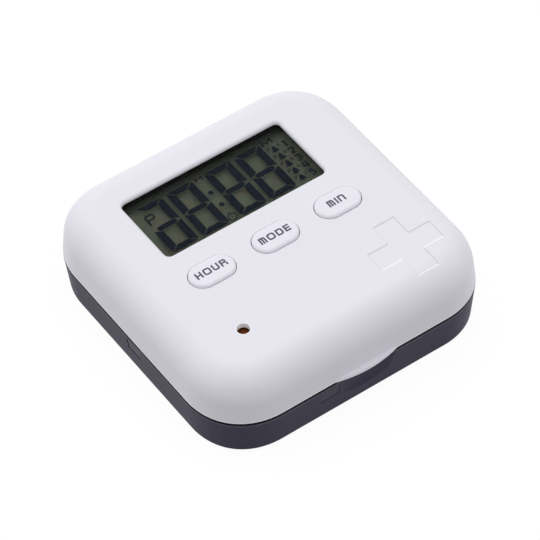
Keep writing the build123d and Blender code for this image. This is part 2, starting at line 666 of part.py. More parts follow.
# Epoxy blob over the bare chip, on the board's underside
with BuildPart() as chip_blob:
    blob_r = (CHIP_R**2 + CHIP_HEIGHT**2) / (2 * CHIP_HEIGHT)
    with BuildSketch(Plane.XZ.offset(-CHIP_PLACE[1])):
        with BuildLine():
            rim = (CHIP_PLACE[0] + CHIP_R, BOARD_BOTTOM_Z)
            crown = (CHIP_PLACE[0], BOARD_BOTTOM_Z - CHIP_HEIGHT)
            dome = RadiusArc(rim, crown, blob_r)
            Line(crown, (CHIP_PLACE[0], BOARD_BOTTOM_Z))
            Line((CHIP_PLACE[0], BOARD_BOTTOM_Z), rim)
        make_face()
    revolve(axis=Axis((CHIP_PLACE[0], CHIP_PLACE[1], 0), (0, 0, 1)))
save(chip_blob, "chip_blob")

# Clock crystal: a small can that lies under the board
with BuildPart() as clock_crystal:
    with BuildSketch(Plane.YZ.offset(CRYSTAL_PLACE[0])):
        with Locations((CRYSTAL_PLACE[1], BOARD_BOTTOM_Z - CRYSTAL_R)):
            Circle(CRYSTAL_R)
    extrude(amount=CRYSTAL_LENGTH)
    chamfer(clock_crystal.edges().filter_by(GeomType.CIRCLE), SWITCH_EDGE)
save(clock_crystal, "clock_crystal")

# Small surface parts under the board, one group of each kind
for name, places in (("capacitors", CAPACITOR_PLACES), ("resistors", RESISTOR_PLACES)):
    with BuildPart() as chip_parts:
        with BuildSketch(Plane.XY.offset(BOARD_BOTTOM_Z - CHIP_PART_SIZE[2])):
            with Locations(*places):
                Rectangle(CHIP_PART_SIZE[0], CHIP_PART_SIZE[1])
        extrude(amount=CHIP_PART_SIZE[2])
    save(chip_parts, name)

# Coin cell: can towards the door, smaller cap towards the board
with BuildPart() as coin_cell:
    with BuildSketch(Plane.XY.offset(CELL_BOTTOM_Z)):
        with Locations((CELL_X, CELL_Y)):
            Circle(CELL_R)
    extrude(amount=CELL_CAN_HEIGHT)
    fillet(coin_cell.edges(), CELL_EDGE_R)
    with BuildSketch(Plane.XY.offset(CELL_BOTTOM_Z + CELL_CAN_HEIGHT)):
        with Locations((CELL_X, CELL_Y)):
            Circle(CELL_CAP_R)
    extrude(amount=CELL_CAP_HEIGHT)
save(coin_cell, "coin_cell")

# Cell contacts: a plate over the cap, and an angle beside the can
with BuildPart() as negative_contact:
    with BuildSketch(Plane.XY.offset(CELL_TOP_Z)):
        with Locations((CELL_X, CELL_Y)):
            RectangleRounded(NEGATIVE_LENGTH, CONTACT_WIDTH, 1)
    extrude(amount=CONTACT_THICKNESS)
save(negative_contact, "negative_contact")

with BuildPart() as positive_contact:
    with BuildSketch(Plane.XZ.offset(-CELL_Y)):
        with BuildLine():
            leg_x = CELL_X - CELL_R - POSITIVE_GAP - CONTACT_THICKNESS / 2
            foot_line_z = BOARD_BOTTOM_Z - CONTACT_THICKNESS / 2
            Polyline((leg_x, POSITIVE_BOTTOM_Z), (leg_x, foot_line_z), (leg_x - POSITIVE_FOOT, foot_line_z))
        trace(line_width=CONTACT_THICKNESS)
    extrude(amount=CONTACT_WIDTH / 2, both=True)
save(positive_contact, "positive_contact")

# Lid liner: closes the lid from below, with the cell's well on its upper side
with BuildPart() as lid_liner:
    with BuildSketch(Plane.XY.offset(LINER_BOTTOM_Z)):
        add(case_outline(LINER_IN))
    extrude(amount=LINER_THICKNESS)
    with BuildSketch(Plane.XY.offset(LINER_TOP_Z)):
        with Locations((CELL_X, CELL_Y)):
            Circle(WELL_OUTER_R)
    extrude(amount=WELL_TOP_Z - LINER_TOP_Z)
    with BuildSketch(Plane.XY.offset(LINER_TOP_Z)):
        with Locations((CELL_X + DOOR_SCREW_REACH, CELL_Y)):
            Circle(DOOR_BOSS_R)
    extrude(amount=DOOR_BOSS_TOP_Z - LINER_TOP_Z)
    with BuildSketch(Plane.XY.offset(LINER_BOTTOM_Z)):
        with Locations((CELL_X, CELL_Y)):
            Circle(WELL_INNER_R)
    extrude(amount=WELL_TOP_Z - LINER_BOTTOM_Z, mode=Mode.SUBTRACT)
    with BuildSketch(Plane.XY.offset(LINER_TOP_Z)):
        with Locations((CELL_X - WELL_OUTER_R, CELL_Y)):
            Rectangle(2 * (WELL_OUTER_R - WELL_INNER_R) + POSITIVE_FOOT, CONTACT_SLOT)
    extrude(amount=WELL_TOP_Z - LINER_TOP_Z, mode=Mode.SUBTRACT)
    # recess for the door
    with BuildSketch(Plane.XY.offset(LINER_BOTTOM_Z)):
        with Locations((CELL_X, CELL_Y)):
            Circle(DOOR_R + DOOR_CLEARANCE)
        with Locations((CELL_X + DOOR_TAB_REACH / 2, CELL_Y)):
            Rectangle(DOOR_TAB_REACH + 2 * DOOR_CLEARANCE, DOOR_TAB_WIDTH + 2 * DOOR_CLEARANCE)
    extrude(amount=DOOR_THICKNESS, mode=Mode.SUBTRACT)
    with BuildSketch(Plane.XY.offset(LINER_BOTTOM_Z)):
        with Locations((CELL_X + DOOR_SCREW_REACH, CELL_Y)):
            Circle(DOOR_BOSS_PILOT_R)
    extrude(amount=DOOR_BOSS_TOP_Z - LINER_BOTTOM_Z, mode=Mode.SUBTRACT)
    # countersunk holes under the lid's bosses
    with BuildSketch(Plane.XY.offset(LINER_BOTTOM_Z)):
        with Locations(*BOSS_PLACES):
            Circle(LINER_HOLE_R)
    extrude(amount=LINER_THICKNESS, mode=Mode.SUBTRACT)
    for boss_place in BOSS_PLACES:
        with BuildSketch(Plane.XY.offset(LINER_BOTTOM_Z)):
            with Locations(boss_place):
                Circle(LINER_SCREW_HEAD_R + SCREW_HEAD_CLEARANCE)
        extrude(
            amount=LINER_SCREW_HEAD_R - LINER_HOLE_R + SCREW_HEAD_CLEARANCE,
            taper=SCREW_HEAD_ANGLE / 2,
            mode=Mode.SUBTRACT,
        )
save(lid_liner, "lid_liner")

with BuildPart() as liner_screws:
    with Locations(*[(x, y, LINER_BOTTOM_Z) for x, y in BOSS_PLACES]):
        add(countersunk_screw(LINER_SCREW_LENGTH, LINER_SCREW_HEAD_R))
save(liner_screws, "liner_screws")

# Cell door: a flat cover with a plug that stands in the well, held by one screw
with BuildPart() as cell_door:
    with BuildSketch(Plane.XY.offset(LINER_BOTTOM_Z)):
        with Locations((CELL_X, CELL_Y)):
            Circle(DOOR_R)
        with Locations((CELL_X + DOOR_TAB_REACH / 2, CELL_Y)):
            Rectangle(DOOR_TAB_REACH, DOOR_TAB_WIDTH)
    extrude(amount=DOOR_THICKNESS)
    with BuildSketch(Plane.XY.offset(LINER_BOTTOM_Z + DOOR_THICKNESS)):
        with Locations((CELL_X, CELL_Y)):
            Circle(DOOR_PLUG_R)
    extrude(amount=DOOR_PLUG_HEIGHT)
    with BuildSketch(Plane.XY.offset(LINER_BOTTOM_Z)):
        with Locations((CELL_X + DOOR_SCREW_REACH, CELL_Y)):
            Circle(DOOR_SCREW_HEAD_R + SCREW_HEAD_CLEARANCE)
    extrude(amount=DOOR_THICKNESS, taper=SCREW_HEAD_ANGLE / 2, mode=Mode.SUBTRACT)
save(cell_door, "cell_door")

with BuildPart() as door_screw:
    with Locations((CELL_X + DOOR_SCREW_REACH, CELL_Y, LINER_BOTTOM_Z)):
        add(countersunk_screw(DOOR_SCREW_LENGTH, DOOR_SCREW_HEAD_R))
save(door_screw, "door_screw")
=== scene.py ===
"""Looks of the electronic pill box: its finishes, display picture and labels, the light and the camera.

Everything is in the frame of the solids: the origin is the centre of the underside, +X is to the
right as the buttons read, +Y is towards the hinge and +Z is up. Lengths are metres, written as
millimetres times MM, and the plates below take millimetres.
"""
import json
from math import cos, radians, sin, tau

import bmesh
import bpy
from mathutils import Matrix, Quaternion, Vector


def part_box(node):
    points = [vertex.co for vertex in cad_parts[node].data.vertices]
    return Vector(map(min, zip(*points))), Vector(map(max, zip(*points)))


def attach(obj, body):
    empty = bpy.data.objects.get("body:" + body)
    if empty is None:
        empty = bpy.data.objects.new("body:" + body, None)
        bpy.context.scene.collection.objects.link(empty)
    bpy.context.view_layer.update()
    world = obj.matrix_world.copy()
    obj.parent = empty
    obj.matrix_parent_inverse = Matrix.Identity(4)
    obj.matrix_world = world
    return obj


MM = 0.001
SAME_POINT = 0.001

# Camera, as the photograph was taken
CAMERA_AZIMUTH = 33.12
CAMERA_ELEVATION = 48.84
CAMERA_ROLL = -2.65
CAMERA_DISTANCE = 924.5 * MM
CAMERA_TARGET = Vector((0, 0, 15 * MM))
CAMERA_SIDEWAYS = 0.445 * MM
CAMERA_UPWARDS = -3.77 * MM
CAMERA_LENS = 228.33
CAMERA_SENSOR = 36.0

# Light: a faint broad lamp overhead, and a pale sky with soft bright patches round the object.
# Directions are in degrees, and a patch fades as the cosine to this power.
KEY_DIRECTION = Vector((0.0, 0.05, 1.0)).normalized()
KEY_DISTANCE = 0.8
KEY_SIZE = 0.8
KEY_POWER = 0.2
SKY_COLOUR = (0.98, 0.98, 1.0, 1)
SKY_LEVEL = 0.07
SKY_PATCH_POWER = 4.0
SKY_PATCHES = (
    {"azimuth": 0, "elevation": 35, "level": 1.0},
    {"azimuth": 85, "elevation": 35, "level": 0.85},
    {"azimuth": 120, "elevation": 40, "level": 1.0},
    {"azimuth": 150, "elevation": 10, "level": 0.55},
    {"azimuth": -90, "elevation": 48, "level": 1.06},
)
FLOOR_SIZE = 6.0
FLOOR_DROP = 0.05
FLOOR_COLOUR = (0.42, 0.415, 0.465, 1)
FLOOR_GLOW_SHARE = 0.8
FLOOR_GLOW = 1.17

# Display picture, and the shadow painted as a dark band along the back of its field
PICTURE_LOW = 24.795
PICTURE_HIGH = 24.82
PICTURE_GROWTH = 0.12
FIELD_SHADE_Y = 26.9
FIELD_SHADE_DEPTH = 3.4
DIGIT_WIDTH = 8.35
DIGIT_HEIGHT = 18.35
DIGIT_BOTTOM = 8.95
DIGIT_LEFTS = (-24.1, -14.2, -1.8, 8.05)
UPRIGHT_WIDTH = 2.0
BAR_HEIGHT = 1.6
BAR_INSET = 0.7
BAR_MITRE = 2.45
CORNER_DROP = 0.8
MITRE_DROP = 1.9
WAIST_OUTER = 9.6
WAIST_INNER = 10.45
MIDDLE_Y = 9.175
MIDDLE_ENDS = (1.98, 6.42)
MIDDLE_R = 0.7
COLON_DOTS = ((-3.9, 20.65), (-3.95, 15.4))
COLON_DOT_R = 0.78
ALARM_ROWS = (23.48, 20.24, 17.0, 13.76, 10.52)
BELL_X = 19.25
BELL_SCALE = 1.3
NUMBER_X = 22.8
NUMBER_RISE = 0.05
NUMBER_SCALE = 1.12
NUMBER_STROKE = 0.53
WAVE_STROKE = 0.24
WAVE_RADII = (1.6, 2.04)
WAVE_RISE = 26.0
WAVE_SPAN = 32.0
STOPWATCH_PLACE = (-4.17, 9.95)
STOPWATCH_R = 1.2
STOPWATCH_STROKE = 0.3
NUMBER_CORNER_R = 0.35
LETTER_CORNER_R = 0.6

# Labels printed on the button caps
LABEL_LOW = 27.59
LABEL_HIGH = 27.612
LABEL_HEIGHT = 2.35
LABEL_STROKE = 0.52
LABEL_GAP = 0.53
LABEL_CORNER_R = 0.5
LABEL_TRIM = 0.1
LABEL_RISE = 0.3
LABEL_SHIFTS = {"hour": 0.0, "mode": 0.0, "minute": -0.27}
LABEL_LETTERS = {
    "hour": (("H", 1.9), ("O", 2.3), ("U", 1.95), ("R", 2.0)),
    "mode": (("M", 2.05), ("O", 2.3), ("D", 2.05), ("E", 1.75)),
    "minute": (("M", 2.0), ("I", 0.44), ("N", 1.95)),
}

# Heights of the painted lines along the seam between lid and base: a white highlight painted on the lid
# below LID_LINE_TOP, shade painted near black on the base above SEAM_LOW, and a pale highlight painted on
# the base between BASE_LINE_LOW and SEAM_LOW
LID_LINE_TOP = 13.2
SEAM_LOW = 11.75
BASE_LINE_LOW = 11.35

# Band of the base's rim where the seam's shade and a highlight below it are painted: the case's half side,
# its corner's radius and the width
RIM_HALF_SIDE = 45.1
RIM_CORNER_R = 17.7
RIM_WIDTH = 1.15

# Rim of the sound hole, where a white highlight is painted
SOUND_HOLE = (-25.2, -25.4)
SOUND_RIM_R = 2.05

# Edges of the sunk plus sign, where a white highlight and grey shade are painted
PLUS_CENTRE = (25.9, -27.65)
PLUS_SPAN = 20.6
PLUS_ARM = 6.9
PLUS_LINE = 0.36

# Small parts under the board: tinned ends, the crystal's leads, the switches' metal, the cell's sign
BOARD_UNDERSIDE = 21.6
CHIP_LOW = 20.98
CHIP_END_REACH = 0.66
CHIP_END_SIZE = (0.34, 0.84)
LEAD_SPREAD = 0.35
LEAD_HALF_THICKNESS = 0.08
LEAD_SIZE = (1.1, 0.16)
LEAD_FOOT_REACH = 1.25
LEAD_FOOT_DROP = 0.14
LEAD_FOOT_SIZE = (0.4, 0.3)
COVER_HALF_SIDE = 2.7
COVER_HOLE_R = 1.75
COVER_THICKNESS = 0.12
SWITCH_FOOT_PLACE = (3.45, 2.0)
SWITCH_FOOT_SIZE = (0.9, 0.7)
SWITCH_FOOT_THICKNESS = 0.15
CELL_SIGN_REACH = 3.0
CELL_SIGN_HALF_WIDTH = 0.45
CELL_SIGN_THICKNESS = 0.02
CHIP_PLACES = {
    "capacitor": ((-22.0, 10.0), (-22.0, 13.0), (4.0, 22.0), (4.0, 25.0), (16.0, 4.0)),
    "resistor": ((-22.0, 20.0), (-22.0, 23.0), (12.0, 22.0), (12.0, 25.0), (-14.0, 2.0), (20.0, 4.0)),
}

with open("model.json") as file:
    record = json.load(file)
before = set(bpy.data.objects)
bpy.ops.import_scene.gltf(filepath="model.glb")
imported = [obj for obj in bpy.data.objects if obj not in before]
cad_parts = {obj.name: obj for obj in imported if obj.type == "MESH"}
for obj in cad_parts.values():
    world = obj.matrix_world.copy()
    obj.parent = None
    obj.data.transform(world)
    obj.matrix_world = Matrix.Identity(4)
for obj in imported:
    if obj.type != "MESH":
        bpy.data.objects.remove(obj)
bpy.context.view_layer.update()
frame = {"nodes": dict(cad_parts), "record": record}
nodes = frame["nodes"]


class Signal:
    """An output of a shader node. Sums on it add Math nodes."""

    def __init__(self, shader, socket):
        self.shader = shader
        self.socket = socket

    def math(self, operation, *terms):
        return self.shader.node("ShaderNodeMath", {"operation": operation}, dict(enumerate(terms)))

    def __add__(self, other):
        return self.math("ADD", self, other)

    def __radd__(self, other):
        return self.math("ADD", other, self)

    def __sub__(self, other):
        return self.math("SUBTRACT", self, other)

    def __rsub__(self, other):
        return self.math("SUBTRACT", other, self)

    def __mul__(self, other):
        return self.math("MULTIPLY", self, other)

    def __rmul__(self, other):
        return self.math("MULTIPLY", other, self)

    def __gt__(self, other):
        return self.math("GREATER_THAN", self, other)

    def __lt__(self, other):
        return self.math("LESS_THAN", self, other)


class Shader:
    """A node tree in the making, of a material or of the sky."""

    def __init__(self, owner):
        owner.use_nodes = True
        self.owner = owner
        self.tree = owner.node_tree
        self.tree.nodes.clear()

    def node(self, kind, settings=None, sockets=None, out=0):
        """Add a node: its settings first, then the values or links of its sockets."""
        made = self.tree.nodes.new(kind)
        for name, value in (settings or {}).items():
            if name == "stops":
                for stop, (place, colour) in zip(made.color_ramp.elements, value):
                    stop.position = place
                    stop.color = colour
            else:
                setattr(made, name, value)
        for name, value in (sockets or {}).items():
            if isinstance(value, Signal):
                self.tree.links.new(value.socket, made.inputs[name])
            else:
                made.inputs[name].default_value = value
        return Signal(self, made.outputs[out] if len(made.outputs) else None)

    def mix(self, factor, first, second):
        """The colour between two others."""
        return self.node("ShaderNodeMix", {"data_type": "RGBA"}, {0: factor, 6: first, 7: second}, out=2)

    def place(self):
        """Where a point of the piece is, in metres in the frame of the solids."""
        return self.node("ShaderNodeTexCoord", out="Object")

    def axis_places(self):
        """The same as three plain numbers."""
        split = self.node("ShaderNodeSeparateXYZ", None, {0: self.place()})
        return [Signal(self, socket) for socket in split.socket.node.outputs]

    def stretched_place(self, stretch):
        """Places scaled along the three axes, for marks that run one way."""
        return self.node("ShaderNodeVectorMath", {"operation": "MULTIPLY"}, {0: self.place(), 1: stretch})

    def clouds(self, size, detail=2.0, place=None):
        """Soft noise from 0 to 1, whose patches are about as large as size."""
        sockets = {"Vector": place or self.place(), "Scale": 1 / size, "Detail": detail}
        return self.node("ShaderNodeTexNoise", None, sockets)

    def distance_from(self, centre):
        """How far a point is from an upright line through centre."""
        flat = self.node("ShaderNodeVectorMath", {"operation": "MULTIPLY"}, {0: self.place(), 1: (1, 1, 0)})
        ends = {0: flat, 1: (centre[0], centre[1], 0)}
        return self.node("ShaderNodeVectorMath", {"operation": "DISTANCE"}, ends, out="Value")

    def relief(self, height, depth, strength=1.0):
        """A bumped normal, depth metres from the lowest to the highest."""
        return self.node(
            "ShaderNodeBump", None, {"Height": height, "Distance": depth, "Strength": strength}
        )

    def seen(self):
        """1 where the camera sees it, directly, in a reflection or through a clear piece."""
        rays = self.node("ShaderNodeLightPath").socket.node.outputs
        camera, glossy, clear = [
            Signal(self, rays[name]) for name in ("Is Camera Ray", "Is Glossy Ray", "Is Transmission Ray")
        ]
        return camera.math("MAXIMUM", camera.math("MAXIMUM", camera, glossy), clear)

    def surface(self, colour, roughness, normal=None, **plain):
        """Close the tree with a Principled shader; the plain values are the same all over."""
        sockets = {"Base Color": colour, "Roughness": roughness}
        sockets.update({name.replace("_", " "): value for name, value in plain.items()})
        if normal is not None:
            sockets["Normal"] = normal
        shade = self.node("ShaderNodeBsdfPrincipled", None, sockets)
        self.node("ShaderNodeOutputMaterial", None, {"Surface": shade})
        return self.owner


def new_finish(name):
    return Shader(bpy.data.materials.new(name))


def paint(red, green, blue):
    """A colour as it reads on a screen, from 0 to 255, turned into light."""
    return tuple(((part / 255 + 0.055) / 1.055) ** 2.4 for part in (red, green, blue)) + (1,)


def scaled(colour, share):
    """A colour made darker or lighter."""
    return tuple(part * share for part in colour[:3]) + (1,)


def moulded(name, colour, roughness, grain=0.15 * MM, depth=0.002 * MM, mottle=0.012, **plain):
    """Injection moulded plastic: a fine spark-eroded grain and a faint unevenness of the melt."""
    finish = new_finish(name)
    melt = finish.clouds(11 * MM)
    pits = finish.clouds(grain, detail=1.0)
    shade = finish.mix(melt, scaled(colour, 1 - mottle), scaled(colour, 1 + mottle))
    gloss = roughness + (melt - 0.5) * 0.07 + (pits - 0.5) * 0.05
    return finish.surface(shade, gloss, finish.relief(pits, depth), **plain)


def drawn_metal(name, colour, roughness, stretch, depth=0.001 * MM, patina=0.12):
    """Metal with fine lines along one way and a faint patina."""
    finish = new_finish(name)
    lines = finish.clouds(1.0, detail=2.0, place=finish.stretched_place(stretch))
    cloud = finish.clouds(2.5 * MM)
    shade = finish.mix(cloud, scaled(colour, 1 - patina), scaled(colour, 1 + patina / 2))
    gloss = roughness + (lines - 0.5) * 0.2
    return finish.surface(shade, gloss, finish.relief(lines, depth), Metallic=1.0)


def lid_plastic():
    """Satin white, with white highlights painted along the plus sign's front edges, round the sound hole's
    rim and along the lid's lower edge, and grey shade painted along the plus sign's other edges.
    """
    finish = new_finish("satin_white")
    melt = finish.clouds(11 * MM)
    pits = finish.clouds(0.15 * MM, detail=1.0)
    x_place, y_place, height = finish.axis_places()
    across = x_place - PLUS_CENTRE[0] * MM
    along = y_place - PLUS_CENTRE[1] * MM
    width = across.math("ABSOLUTE", across)
    length = along.math("ABSOLUTE", along)
    arm, span, line = PLUS_ARM / 2 * MM, PLUS_SPAN / 2 * MM, PLUS_LINE * MM
    reach_across = (length < arm) * (span - arm) + arm
    reach_along = (width < arm) * (span - arm) + arm
    inside = (width < reach_across) * (length < reach_along)
    # Painted highlight: white along the plus sign's front edges
    front = inside * ((reach_along + along) < line)
    back = (reach_along - along) < line
    side = (reach_across - width) < line
    # Painted shade: grey along the plus sign's back and side edges
    soft = inside * back.math("MAXIMUM", back, side) * 0.5
    # Painted highlight: white along the lid's lower edge, just above the seam
    lower_edge = height < LID_LINE_TOP * MM
    # Painted highlight: a white ring round the sound hole's rim
    hole = finish.distance_from((SOUND_HOLE[0] * MM, SOUND_HOLE[1] * MM)) < SOUND_RIM_R * MM
    # bright gathers the painted highlights of the plus, the hole's rim and the lid's lower edge; white is
    # painted there, and grey where the shade is painted
    bright = front.math("MAXIMUM", front, hole.math("MAXIMUM", hole, lower_edge))
    plain = finish.mix(melt, paint(232, 231, 237), paint(234, 233, 239))
    shade = finish.mix(bright, finish.mix(soft, plain, paint(218, 217, 223)), paint(255, 255, 255))
    gloss = 0.35 + (melt - 0.5) * 0.07 + (pits - 0.5) * 0.05
    return finish.surface(shade, gloss, finish.relief(pits, 0.002 * MM))


def button_plastic():
    return moulded("button_white", paint(235, 234, 241), 0.36, depth=0.001 * MM, mottle=0.005)


def base_plastic():
    """Satin dark grey, with a pale fine line painted as a highlight below the seam and near-black shade
    painted in the seam.
    """
    finish = new_finish("satin_dark_grey")
    melt = finish.clouds(11 * MM)
    pits = finish.clouds(0.2 * MM, detail=1.0)
    x_place, y_place, height = finish.axis_places()
    straight = (RIM_HALF_SIDE - RIM_CORNER_R) * MM
    across = height.math("MAXIMUM", x_place.math("ABSOLUTE", x_place) - straight, 0.0)
    along = height.math("MAXIMUM", y_place.math("ABSOLUTE", y_place) - straight, 0.0)
    reach = across * across + along * along
    rim = (reach > ((RIM_CORNER_R - RIM_WIDTH) * MM) ** 2) * (reach < (RIM_CORNER_R * MM) ** 2)
    plain = finish.mix(melt, paint(69, 67, 82), paint(72, 70, 85))
    # Painted highlight: a pale line on the rim's outer band, just below the seam
    painted_highlight_line = finish.mix(rim * (height > BASE_LINE_LOW * MM), plain, paint(104, 103, 120))
    # Painted shade: near black on the rim's outer band, in the seam
    shade = finish.mix(rim * (height > SEAM_LOW * MM), painted_highlight_line, paint(20, 20, 28))
    gloss = 0.45 + (melt - 0.5) * 0.07 + (pits - 0.5) * 0.05
    return finish.surface(shade, gloss, finish.relief(pits, 0.003 * MM), Specular_IOR_Level=0.05)


def tray_plastic():
    return moulded(
        "tray_dark_grey",
        paint(68, 66, 80),
        0.4,
        grain=0.25 * MM,
        depth=0.002 * MM,
        mottle=0.05,
        Specular_IOR_Level=0.08,
    )


def liner_plastic():
    return moulded("liner_white", paint(226, 225, 230), 0.5, grain=0.2 * MM, depth=0.003 * MM)


def frame_plastic():
    return moulded("frame_white", paint(220, 220, 220), 0.55, grain=0.3 * MM, depth=0.004 * MM)


def plunger_plastic():
    return moulded("plunger_red", paint(150, 40, 32), 0.45, grain=0.2 * MM, mottle=0.05)


def switch_black():
    return moulded("switch_black", paint(34, 34, 36), 0.5, grain=0.12 * MM, depth=0.003 * MM, mottle=0.08)


def pin_steel():
    return drawn_metal("drawn_steel", paint(196, 196, 200), 0.3, (60, 9000, 9000))


def screw_steel():
    """Zinc plating: pale, slightly blue, with straw-coloured patches."""
    finish = new_finish("zinc_plate")
    cloud = finish.clouds(0.9 * MM, detail=3.0)
    shade = finish.mix(cloud, paint(192, 200, 214), paint(214, 208, 190))
    return finish.surface(shade, 0.28 + cloud * 0.15, finish.relief(cloud, 0.002 * MM), Metallic=1.0)


def crystal_can():
    return drawn_metal("tinned_can", paint(205, 205, 202), 0.32, (300, 5000, 5000))


def contact_bronze():
    return drawn_metal("spring_bronze", paint(204, 164, 104), 0.3, (4000, 200, 4000), patina=0.2)


def reflector_foil():
    """Grey-green foil behind the display, brushed lengthwise, with faint brown and green patches."""
    finish = new_finish("brushed_foil")
    lines = finish.clouds(1.0, place=finish.stretched_place((80, 7000, 7000)))
    patches = (finish.clouds(4.5 * MM, detail=1.0) - 0.5) * 3 + 0.5
    shade = finish.mix(patches, paint(140, 161, 134), paint(156, 156, 132))
    return finish.surface(shade, 0.5 + lines * 0.2, finish.relief(lines, 0.002 * MM), Metallic=0.3)


def cell_steel():
    """Nickel-plated can, turned: fine rings about its own axis."""
    finish = new_finish("nickel_plate")
    low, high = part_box("coin_cell")
    rings = finish.clouds(0.08 * MM, place=finish.distance_from((low + high) / 2))
    haze = finish.clouds(3 * MM)
    shade = finish.mix(haze, paint(196, 197, 200), paint(214, 214, 215))
    return finish.surface(shade, 0.24 + rings * 0.16, finish.relief(rings, 0.0015 * MM), Metallic=1.0)


def sounder_brass():
    """Brass disc painted dark brown for the shade it lies in under the sound hole (painted shade), with warm
    blotches and a dull sheen.
    """
    finish = new_finish("brown_brass")
    blotches = finish.clouds(1.6 * MM, detail=4.0)
    scratches = finish.clouds(1.0, place=finish.stretched_place((400, 6000, 400)))
    shade = finish.mix(blotches, paint(84, 38, 12), paint(128, 66, 24))
    return finish.surface(
        shade, 0.36 + scratches * 0.2, finish.relief(scratches, 0.001 * MM), Metallic=0.85
    )


def sounder_ceramic():
    """Cream ceramic with a silvered electrode over all but its rim."""
    finish = new_finish("silvered_ceramic")
    low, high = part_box("sounder_ceramic")
    electrode = finish.distance_from((low + high) / 2) < (high.x - low.x) / 2 - 0.7 * MM
    speckle = finish.clouds(0.2 * MM, detail=3.0)
    cream = finish.mix(speckle, paint(224, 214, 188), paint(236, 228, 206))
    silver = finish.mix(speckle, paint(196, 196, 194), paint(218, 218, 216))
    return finish.surface(
        finish.mix(electrode, cream, silver),
        0.55 - electrode * 0.15 + speckle * 0.08,
        finish.relief(speckle, 0.003 * MM),
        Metallic=electrode * 0.9,
    )


def display_glass():
    """The display's glass and films: a smoky olive tint over the foil, with shadow painted darker and less
    clear along the back edge.
    """
    finish = new_finish("display_field")
    speckle = finish.clouds(0.07 * MM)
    _, y_place, _ = finish.axis_places()
    # Painted shadow of the opening's back rim: darker and less clear towards the back edge, over
    # FIELD_SHADE_DEPTH
    edge = (y_place - FIELD_SHADE_Y * MM) * (1 / (FIELD_SHADE_DEPTH * MM))
    dark = edge.math("MAXIMUM", edge.math("MINIMUM", edge, 1.0), 0.0)
    shade = finish.mix(speckle, paint(42, 49, 38), paint(52, 57, 46))
    deep = finish.mix(dark, shade, paint(16, 17, 15))
    return finish.surface(deep, 0.42 + speckle * 0.1, Specular_IOR_Level=0.1, Alpha=0.3 + dark * 0.6)


def display_ink():
    """The dark parts of the picture: blue black, a little uneven."""
    finish = new_finish("display_dark")
    patches = finish.clouds(2.4 * MM)
    shade = finish.mix(patches, paint(8, 16, 30), paint(16, 24, 36))
    return finish.surface(shade, 0.45 + patches * 0.1, Specular_IOR_Level=0.05)


def label_ink():
    """Screen-printed ink: dark grey, matt, with a fine weave left by the screen."""
    finish = new_finish("printed_grey")
    weave = finish.clouds(0.09 * MM)
    shade = finish.mix(weave, paint(74, 74, 88), paint(88, 88, 102))
    return finish.surface(shade, 0.55 + weave * 0.1, finish.relief(weave, 0.001 * MM))


def window_clear():
    """Clear plate: nearly see-through, with a faint gloss that haze breaks up."""
    finish = new_finish("clear_window")
    haze = finish.clouds(6 * MM)
    return finish.surface((0.02, 0.022, 0.02, 1), 0.05 + haze * 0.05, Alpha=0.05)


def contact_rubber():
    """Elastomer strip with thin dark conducting layers across it."""
    finish = new_finish("layered_rubber")
    x_place, _, _ = finish.axis_places()
    layers = finish.node("ShaderNodeMath", {"operation": "PINGPONG"}, {0: x_place, 1: 0.18 * MM}) > 0.09 * MM
    dust = finish.clouds(0.3 * MM)
    shade = finish.mix(layers, paint(52, 52, 54), paint(176, 170, 160))
    return finish.surface(shade, 0.6 + dust * 0.15, finish.relief(dust, 0.004 * MM))


def board_laminate():
    """Green solder mask over copper: lighter where a track runs below, with a fine glass weave."""
    finish = new_finish("solder_mask")
    tracks = finish.node(
        "ShaderNodeTexVoronoi",
        {"feature": "DISTANCE_TO_EDGE", "distance": "CHEBYCHEV"},
        {"Vector": finish.place(), "Scale": 1 / (3.4 * MM), "Randomness": 0.7},
    )
    track = tracks < 0.05
    weave = finish.clouds(0.35 * MM, detail=3.0)
    mask = finish.mix(weave, paint(20, 84, 46), paint(28, 98, 56))
    shade = finish.mix(track, mask, paint(48, 130, 74))
    return finish.surface(shade, 0.34 + weave * 0.1, finish.relief(track, 0.02 * MM), Coat_Weight=0.2)


def chip_epoxy():
    finish = new_finish("black_epoxy")
    flow = finish.clouds(2.2 * MM)
    shade = finish.mix(flow, paint(14, 14, 15), paint(26, 26, 28))
    return finish.surface(shade, 0.16 + flow * 0.12, finish.relief(flow, 0.05 * MM))


def capacitor_ceramic():
    return moulded("tan_ceramic", paint(170, 138, 100), 0.45, grain=0.1 * MM, mottle=0.08)


def resistor_black():
    return moulded("black_film", paint(30, 30, 34), 0.3, grain=0.1 * MM, mottle=0.1)


def solder_tin():
    finish = new_finish("solder_tin")
    cloud = finish.clouds(0.4 * MM)
    shade = finish.mix(cloud, paint(186, 186, 188), paint(216, 216, 216))
    return finish.surface(shade, 0.25 + cloud * 0.15, finish.relief(cloud, 0.01 * MM), Metallic=1.0)


FINISHES = {
    "lid_plastic": lid_plastic(),
    "button_plastic": button_plastic(),
    "base_plastic": base_plastic(),
    "tray_plastic": tray_plastic(),
    "liner_plastic": liner_plastic(),
    "frame_plastic": frame_plastic(),
    "plunger_plastic": plunger_plastic(),
    "switch_black": switch_black(),
    "pin_steel": pin_steel(),
    "screw_steel": screw_steel(),
    "window_clear": window_clear(),
    "display_glass": display_glass(),
    "reflector_foil": reflector_foil(),
    "contact_rubber": contact_rubber(),
    "board_laminate": board_laminate(),
    "chip_epoxy": chip_epoxy(),
    "crystal_can": crystal_can(),
    "capacitor_ceramic": capacitor_ceramic(),
    "resistor_black": resistor_black(),
    "sounder_brass": sounder_brass(),
    "sounder_ceramic": sounder_ceramic(),
    "contact_bronze": contact_bronze(),
    "cell_steel": cell_steel(),
}
DISPLAY_INK = display_ink()
LABEL_INK = label_ink()
SOLDER_TIN = solder_tin()

for row in frame["record"]["subparts"]:
    for material_slot in nodes[row["node"]].material_slots:
        material_slot.material = FINISHES[row["material_slot"]]


